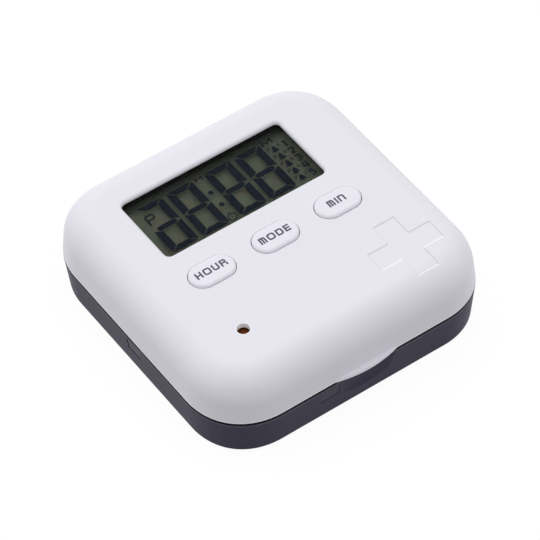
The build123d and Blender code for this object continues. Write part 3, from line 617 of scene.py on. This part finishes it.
def bent(points, radius, closed=False, steps=6):
    """A line of points with each corner rounded to radius, or to what its runs leave room for."""
    path = [Vector(point) for point in points]
    rounded = []
    for index, corner in enumerate(path):
        if not closed and index in (0, len(path) - 1):
            rounded.append(corner)
            continue
        towards = corner - path[index - 1]
        onwards = path[(index + 1) % len(path)] - corner
        turn = towards.angle(onwards)
        if turn < radians(3) or radius == 0:
            rounded.append(corner)
            continue
        reach = min(radius * abs(sin(turn / 2) / cos(turn / 2)), towards.length / 2, onwards.length / 2)
        start = corner - towards.normalized() * reach
        end = corner + onwards.normalized() * reach
        for step in range(steps + 1):
            share = step / steps
            rounded.append(start * (1 - share) ** 2 + corner * (2 * share * (1 - share)) + end * share**2)
    return [
        point for before, point in zip([None] + rounded, rounded)
        if before is None or (point - before).length > SAME_POINT
    ]


def stroke_edges(points, width, closed):
    """The left and right edges of a stroke along a line of points."""
    path = [Vector(point) for point in points]
    left, right = [], []
    for index, here in enumerate(path):
        runs = []
        if closed or index > 0:
            runs.append((here - path[index - 1]).normalized())
        if closed or index < len(path) - 1:
            runs.append((path[(index + 1) % len(path)] - here).normalized())
        normals = [Vector((-run.y, run.x)) for run in runs]
        across = sum(normals, Vector((0, 0))).normalized()
        reach = width / 2 / across.dot(normals[0])
        left.append(here + across * reach)
        right.append(here - across * reach)
    return left, right


def circle(centre, radius, count=40):
    return [
        (centre[0] + radius * cos(tau * i / count), centre[1] + radius * sin(tau * i / count))
        for i in range(count)
    ]


def arc(centre, radius, start, end, count=8):
    """Points on a circle between two angles, in degrees."""
    angles = [radians(start + (end - start) * i / count) for i in range(count + 1)]
    return [(centre[0] + radius * cos(angle), centre[1] + radius * sin(angle)) for angle in angles]


class Plates:
    """Flat pieces of one thickness, in millimetres, gathered into one mesh of closed solids."""

    def __init__(self, low, high):
        self.low = low
        self.high = high
        self.points = []
        self.faces = []

    def add_loop(self, loop):
        """Put a loop of points at both heights, and return the two rows of indices."""
        rows = []
        for height in (self.low, self.high):
            first = len(self.points)
            self.points += [(point[0] * MM, point[1] * MM, height * MM) for point in loop]
            rows.append(range(first, len(self.points)))
        return rows

    def add_wall(self, lower, upper):
        for i in range(len(lower)):
            self.faces.append((lower[i - 1], lower[i], upper[i], upper[i - 1]))

    def outline(self, loop, growth=0.0):
        """A plate with this outline, grown outwards if wanted."""
        if growth:
            _, loop = stroke_edges(loop, 2 * growth, closed=True)
        lower, upper = self.add_loop(loop)
        self.faces += [tuple(reversed(lower)), tuple(upper)]
        self.add_wall(lower, upper)

    def band(self, outer, inner):
        """A plate between two loops that have the same number of points."""
        rows = self.add_loop(outer), self.add_loop(inner)
        for lower, upper in rows:
            self.add_wall(lower, upper)
        for out_row, in_row in zip(*rows):
            self.add_wall(out_row, in_row)

    def stroke(self, points, width, closed=False):
        """A stroke of this width, round a closed line or along an open one."""
        left, right = stroke_edges(points, width, closed)
        if closed:
            self.band(right, left)
        else:
            self.outline(right + left[::-1])

    def piece(self, name, finish, body):
        """The finished object, riding on a body."""
        mesh = bpy.data.meshes.new(name)
        mesh.from_pydata(self.points, [], self.faces)
        mesh.materials.append(finish)
        tidy = bmesh.new()
        tidy.from_mesh(mesh)
        bmesh.ops.recalc_face_normals(tidy, faces=tidy.faces)
        tidy.to_mesh(mesh)
        tidy.free()
        made = bpy.data.objects.new(name, mesh)
        bpy.context.scene.collection.objects.link(made)
        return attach(made, body)


def flipped(loop, middle_x=None, middle_y=None):
    """A loop mirrored about an upright or a level line."""
    turned = [
        (
            x if middle_x is None else 2 * middle_x - x,
            y if middle_y is None else 2 * middle_y - y,
        )
        for x, y in loop
    ]
    return turned[::-1]


def digit_segments():
    """The seven segments of a digit, by the letters that displays use, from its lower left corner."""
    top = [
        (BAR_INSET, DIGIT_HEIGHT),
        (BAR_MITRE, DIGIT_HEIGHT - BAR_HEIGHT),
        (DIGIT_WIDTH - BAR_MITRE, DIGIT_HEIGHT - BAR_HEIGHT),
        (DIGIT_WIDTH - BAR_INSET, DIGIT_HEIGHT),
    ]
    upper_left = [
        (0, WAIST_OUTER),
        (UPRIGHT_WIDTH, WAIST_INNER),
        (UPRIGHT_WIDTH, DIGIT_HEIGHT - MITRE_DROP),
        (BAR_INSET / 2, DIGIT_HEIGHT - CORNER_DROP / 2),
        (0, DIGIT_HEIGHT - CORNER_DROP),
    ]
    middle_left, middle_right = MIDDLE_ENDS
    middle = arc((middle_right, MIDDLE_Y), MIDDLE_R, -90, 90) + arc(
        (middle_left, MIDDLE_Y), MIDDLE_R, 90, 270
    )
    centre_x = DIGIT_WIDTH / 2
    centre_y = DIGIT_HEIGHT / 2
    upper_right = flipped(upper_left, middle_x=centre_x)
    return {
        "a": top,
        "b": upper_right,
        "c": flipped(upper_right, middle_y=centre_y),
        "d": flipped(top, middle_y=centre_y),
        "e": flipped(upper_left, middle_y=centre_y),
        "f": upper_left,
        "g": middle,
    }


def display_digits():
    segments = digit_segments()
    for number, left in enumerate(DIGIT_LEFTS, start=1):
        digit = Plates(PICTURE_LOW, PICTURE_HIGH)
        for letter, loop in segments.items():
            if number == 1 and letter == "f":
                continue
            digit.outline([(left + x, DIGIT_BOTTOM + y) for x, y in loop], PICTURE_GROWTH)
        digit.piece(f"display_digit_{number}", DISPLAY_INK, "lid")


def display_colon():
    colon = Plates(PICTURE_LOW, PICTURE_HIGH)
    for dot in COLON_DOTS:
        colon.outline(circle(dot, COLON_DOT_R))
    colon.piece("display_colon", DISPLAY_INK, "lid")


def bell_outline(centre):
    """A bell with a knob, a flared skirt and a clapper, about its centre."""
    right_side = [
        (0.24, -0.92),
        (0.32, -0.7),
        (0.86, -0.7),
        (0.86, -0.56),
        (0.58, -0.25),
        (0.54, 0.3),
        (0.36, 0.66),
        (0.14, 0.8),
        (0.12, 0.98),
    ]
    left_side = [(-x, y) for x, y in reversed(right_side)]
    return [(centre[0] + BELL_SCALE * x, centre[1] + BELL_SCALE * y) for x, y in right_side + left_side]


def display_alarms():
    """A ringing bell and a number for each of the five alarms."""
    number_strokes = {
        1: [[(-0.42, 0.7), (0.05, 1.05), (0.05, -1.1)]],
        2: [[(-0.6, 0.55), (-0.6, 0.9), (0.6, 0.9), (0.6, 0.15), (-0.58, -0.9), (0.68, -0.9)]],
        3: [[(-0.6, 0.9), (0.6, 0.9), (0.6, -0.9), (-0.6, -0.9)], [(-0.35, 0.0), (0.35, 0.0)]],
        4: [
            [(-0.4, 1.1), (-0.8, -0.3), (0.1, -0.3)],
            [(0.35, -1.1), (0.35, 1.1)],
            [(0.6, -0.3), (0.85, -0.3)],
        ],
        5: [[(0.62, 0.9), (-0.5, 0.9), (-0.5, 0.15), (0.55, 0.15), (0.55, -0.9), (-0.62, -0.9)]],
    }
    for number, row_y in enumerate(ALARM_ROWS, start=1):
        bell = Plates(PICTURE_LOW, PICTURE_HIGH)
        centre = (BELL_X, row_y)
        bell.outline(bell_outline(centre))
        for direction in (WAVE_RISE, 180 - WAVE_RISE):
            for radius in WAVE_RADII:
                bell.stroke(
                    arc(centre, radius, direction - WAVE_SPAN / 2, direction + WAVE_SPAN / 2, count=4),
                    WAVE_STROKE,
                )
        bell.piece(f"display_bell_{number}", DISPLAY_INK, "lid")
        figure = Plates(PICTURE_LOW, PICTURE_HIGH)
        for line in number_strokes[number]:
            placed = [(NUMBER_X + NUMBER_SCALE * x, row_y + NUMBER_RISE + NUMBER_SCALE * y) for x, y in line]
            figure.stroke(bent(placed, NUMBER_CORNER_R, steps=4), NUMBER_STROKE)
        figure.piece(f"display_number_{number}", DISPLAY_INK, "lid")


def display_letters():
    """P for afternoon, H over the hours and M over the minutes."""
    letters = {
        "P": (0.5, [
            [(-23.5, 20.3), (-23.5, 22.39)],
            [(-23.5, 22.39), (-23.5, 23.85), (-21.1, 23.85), (-21.1, 22.14), (-23.25, 22.14)],
        ]),
        "H": (0.38, [
            [(-4.8, 26.0), (-4.8, 27.75)],
            [(-2.85, 26.0), (-2.85, 27.75)],
            [(-4.61, 26.9), (-3.04, 26.9)],
        ]),
        "M": (0.42, [[(17.35, 26.0), (17.35, 27.85), (18.8, 26.35), (20.2, 27.85), (20.2, 26.0)]]),
    }
    for letter, (width, lines) in letters.items():
        sign = Plates(PICTURE_LOW, PICTURE_HIGH)
        for line in lines:
            sign.stroke(bent(line, LETTER_CORNER_R if letter == "P" else 0), width)
        sign.piece(f"display_letter_{letter.lower()}", DISPLAY_INK, "lid")


def display_stopwatch():
    watch = Plates(PICTURE_LOW, PICTURE_HIGH)
    x, y = STOPWATCH_PLACE
    watch.band(circle(STOPWATCH_PLACE, STOPWATCH_R + STOPWATCH_STROKE / 2),
               circle(STOPWATCH_PLACE, STOPWATCH_R - STOPWATCH_STROKE / 2))
    watch.outline([(x - 0.16, y - 0.2), (x + 0.16, y - 0.2), (x + 0.05, y + 0.75), (x - 0.05, y + 0.75)])
    watch.stroke([(x - 0.5, y + 1.75), (x + 0.5, y + 1.75)], 0.36)
    watch.stroke([(x + 0.98, y + 0.98), (x + 1.3, y + 1.3)], 0.3)
    watch.piece("display_stopwatch", DISPLAY_INK, "lid")


def letter_strokes(letter, width):
    """The strokes of a squared letter in a cell of this width: lists of (points, closed)."""
    half = LABEL_STROKE / 2
    left, right = half, width - half
    low, high = half, LABEL_HEIGHT - half
    middle = LABEL_HEIGHT / 2
    inner_left, inner_right = LABEL_STROKE, width - LABEL_STROKE
    if letter == "H":
        return [
            ([(left, 0), (left, LABEL_HEIGHT)], False),
            ([(right, 0), (right, LABEL_HEIGHT)], False),
            ([(inner_left, middle), (inner_right, middle)], False),
        ]
    if letter == "O":
        ring = [(left, low), (right, low), (right, high), (left, high)]
        return [(bent(ring, LABEL_CORNER_R, closed=True), True)]
    if letter == "U":
        cup = [(left, LABEL_HEIGHT), (left, low), (right, low), (right, LABEL_HEIGHT)]
        return [(bent(cup, LABEL_CORNER_R), False)]
    if letter == "R":
        bowl_right = right - LABEL_TRIM
        bowl = [(inner_left, high), (bowl_right, high), (bowl_right, middle), (inner_left, middle)]
        return [
            ([(left, 0), (left, LABEL_HEIGHT)], False),
            (bent(bowl, LABEL_CORNER_R), False),
            ([(right, 0), (right, middle - half)], False),
        ]
    if letter == "M":
        arch = bent([(inner_left, high), (right, high), (right, 0)], LABEL_CORNER_R)
        return [
            ([(left, 0), (left, LABEL_HEIGHT)], False),
            (arch, False),
            ([(width / 2, 0), (width / 2, high - half)], False),
        ]
    if letter == "N":
        arch = bent([(inner_left, high), (right, high), (right, 0)], LABEL_CORNER_R)
        return [([(left, 0), (left, LABEL_HEIGHT)], False), (arch, False)]
    if letter == "I":
        return [([(left, 0), (left, LABEL_HEIGHT)], False)]
    if letter == "D":
        round_side = bent(
            [(inner_left, high), (right, high), (right, low), (inner_left, low)], LABEL_CORNER_R
        )
        return [([(left, 0), (left, LABEL_HEIGHT)], False), (round_side, False)]
    return [
        ([(left, 0), (left, LABEL_HEIGHT)], False),
        ([(inner_left, high), (width, high)], False),
        ([(inner_left, middle), (width - LABEL_TRIM, middle)], False),
        ([(inner_left, low), (width, low)], False),
    ]


def button_labels():
    """The word on each button cap, centred, in squared strokes."""
    for name, letters in LABEL_LETTERS.items():
        low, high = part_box(f"{name}_button")
        centre = (low + high) / 2 / MM
        total = sum(width for _, width in letters) + LABEL_GAP * (len(letters) - 1)
        pen_x = centre.x + LABEL_SHIFTS[name] - total / 2
        foot_y = centre.y + LABEL_RISE - LABEL_HEIGHT / 2
        label = Plates(LABEL_LOW, LABEL_HIGH)
        for letter, width in letters:
            for points, closed in letter_strokes(letter, width):
                placed = [(pen_x + point[0], foot_y + point[1]) for point in points]
                label.stroke(placed, LABEL_STROKE, closed)
            pen_x += width + LABEL_GAP
        label.piece(f"{name}_label", LABEL_INK, f"{name}_button")


def rectangle(x, y, width, height):
    """A loop about a centre."""
    return [
        (x - width / 2, y - height / 2),
        (x + width / 2, y - height / 2),
        (x + width / 2, y + height / 2),
        (x - width / 2, y + height / 2),
    ]


def chip_ends():
    """Tinned ends of the small parts under the board."""
    for kind, places in CHIP_PLACES.items():
        ends = Plates(CHIP_LOW, BOARD_UNDERSIDE)
        for x, y in places:
            for side in (-1, 1):
                ends.outline(rectangle(x + side * CHIP_END_REACH, y, *CHIP_END_SIZE))
        ends.piece(f"{kind}_ends", SOLDER_TIN, "lid")


def crystal_leads():
    """Two leads that leave the can's end and turn up to the board."""
    low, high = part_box("clock_crystal")
    centre = (low + high) / 2 / MM
    end_x = low.x / MM
    for number, side in enumerate((-1, 1), start=1):
        lead_y = centre.y + side * LEAD_SPREAD
        lead = Plates(centre.z - LEAD_HALF_THICKNESS, centre.z + LEAD_HALF_THICKNESS)
        lead.outline(rectangle(end_x - LEAD_SIZE[0] / 2, lead_y, *LEAD_SIZE))
        lead.piece(f"crystal_lead_{number}", SOLDER_TIN, "lid")
        foot = Plates(centre.z - LEAD_FOOT_DROP, BOARD_UNDERSIDE)
        foot.outline(rectangle(end_x - LEAD_FOOT_REACH, lead_y, *LEAD_FOOT_SIZE))
        foot.piece(f"crystal_foot_{number}", SOLDER_TIN, "lid")


def switch_metal():
    """Each switch's tinned cover, with a hole for the plunger, and its four feet on the board."""
    square = []
    for x, y in circle((0, 0), COVER_HALF_SIDE):
        growth = COVER_HALF_SIDE / max(abs(x), abs(y))
        square.append((growth * x, growth * y))
    for name in LABEL_LETTERS:
        low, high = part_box(f"{name}_switch")
        centre = (low + high) / 2 / MM
        cover = Plates(high.z / MM, high.z / MM + COVER_THICKNESS)
        rim = [(centre.x + x, centre.y + y) for x, y in square]
        cover.band(rim, circle((centre.x, centre.y), COVER_HOLE_R))
        cover.piece(f"{name}_switch_cover", FINISHES["crystal_can"], "lid")
        feet = Plates(low.z / MM, low.z / MM + SWITCH_FOOT_THICKNESS)
        for side in (-1, 1):
            for end in (-1, 1):
                foot_x = centre.x + side * SWITCH_FOOT_PLACE[0]
                foot_y = centre.y + end * SWITCH_FOOT_PLACE[1]
                feet.outline(rectangle(foot_x, foot_y, *SWITCH_FOOT_SIZE))
        feet.piece(f"{name}_switch_feet", SOLDER_TIN, "lid")


def cell_sign():
    """The plus sign on the face of the cell's can."""
    low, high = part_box("coin_cell")
    centre = (low + high) / 2 / MM
    sign = Plates(low.z / MM - CELL_SIGN_THICKNESS, low.z / MM)
    arm, half = CELL_SIGN_REACH, CELL_SIGN_HALF_WIDTH
    sign.outline([
        (centre.x + x, centre.y + y)
        for x, y in (
            (half, -arm), (half, -half), (arm, -half), (arm, half), (half, half), (half, arm),
            (-half, arm), (-half, half), (-arm, half), (-arm, -half), (-half, -half), (-half, -arm),
        )
    ])
    sign.piece("cell_plus_sign", LABEL_INK, "lid")


def lit_floor():
    """Pale floor that the camera sees near white, with the object's shadow faint on it."""
    mesh = bpy.data.meshes.new("floor")
    half = FLOOR_SIZE / 2
    mesh.from_pydata(
        [(-half, -half, 0), (half, -half, 0), (half, half, 0), (-half, half, 0)], [], [(0, 1, 2, 3)]
    )
    floor = bpy.data.objects.new("floor", mesh)
    floor.location.z = -FLOOR_DROP * MM
    bpy.context.scene.collection.objects.link(floor)
    finish = new_finish("pale_floor")
    lit = finish.node("ShaderNodeBsdfDiffuse", None, {"Color": FLOOR_COLOUR})
    glow = finish.node("ShaderNodeEmission", None, {"Color": (1, 1, 1, 1), "Strength": FLOOR_GLOW})
    both = finish.node("ShaderNodeMixShader", None, {0: finish.seen() * FLOOR_GLOW_SHARE, 1: lit, 2: glow})
    finish.node("ShaderNodeOutputMaterial", None, {"Surface": both})
    mesh.materials.append(finish.owner)


def sky():
    """Pale light with bright patches round the object, and white where the camera sees it."""
    world = bpy.data.worlds.new("sky")
    bpy.context.scene.world = world
    shader = Shader(world)
    way = shader.node("ShaderNodeTexCoord", out="Generated")
    lit = SKY_LEVEL
    for patch in SKY_PATCHES:
        azimuth, elevation = radians(patch["azimuth"]), radians(patch["elevation"])
        centre = (cos(azimuth) * cos(elevation), sin(azimuth) * cos(elevation), sin(elevation))
        towards = shader.node(
            "ShaderNodeVectorMath", {"operation": "DOT_PRODUCT"}, {0: way, 1: centre}, out="Value"
        )
        near = towards.math("POWER", towards.math("MAXIMUM", towards, 0.0), SKY_PATCH_POWER)
        lit = near * patch["level"] + lit
    level = lit + shader.seen() * (1 - lit)
    light = shader.node("ShaderNodeBackground", None, {"Color": SKY_COLOUR, "Strength": level})
    shader.node("ShaderNodeOutputWorld", None, {"Surface": light})


def key_lamp():
    """The broad lamp overhead."""
    lamp = bpy.data.lights.new("key_lamp", "AREA")
    lamp.shape = "SQUARE"
    lamp.size = KEY_SIZE
    lamp.energy = KEY_POWER
    holder = bpy.data.objects.new("key_lamp", lamp)
    holder.location = KEY_DIRECTION * KEY_DISTANCE
    holder.rotation_mode = "QUATERNION"
    holder.rotation_quaternion = (-KEY_DIRECTION).to_track_quat("-Z", "Y")
    bpy.context.scene.collection.objects.link(holder)


def photo_camera():
    """Camera at the photograph's place, roll and lens."""
    azimuth, elevation = radians(CAMERA_AZIMUTH), radians(CAMERA_ELEVATION)
    back = Vector((-sin(azimuth) * cos(elevation), -cos(azimuth) * cos(elevation), sin(elevation)))
    right = (-back).cross(Vector((0, 0, 1))).normalized()
    up = right.cross(-back)
    lens = bpy.data.cameras.new("camera")
    lens.lens = CAMERA_LENS
    lens.sensor_width = CAMERA_SENSOR
    camera = bpy.data.objects.new("camera", lens)
    camera.location = CAMERA_TARGET + back * CAMERA_DISTANCE
    aim = CAMERA_TARGET + right * CAMERA_SIDEWAYS + up * CAMERA_UPWARDS - camera.location
    camera.rotation_mode = "QUATERNION"
    roll = Quaternion((0, 0, 1), radians(CAMERA_ROLL))
    camera.rotation_quaternion = aim.to_track_quat("-Z", "Y") @ roll
    bpy.context.scene.collection.objects.link(camera)
    bpy.context.scene.camera = camera


photo_camera()
key_lamp()
sky()
lit_floor()
display_digits()
display_colon()
display_alarms()
display_letters()
display_stopwatch()
button_labels()
chip_ends()
crystal_leads()
switch_metal()
cell_sign()
bpy.context.scene.view_settings.view_transform = "Standard"
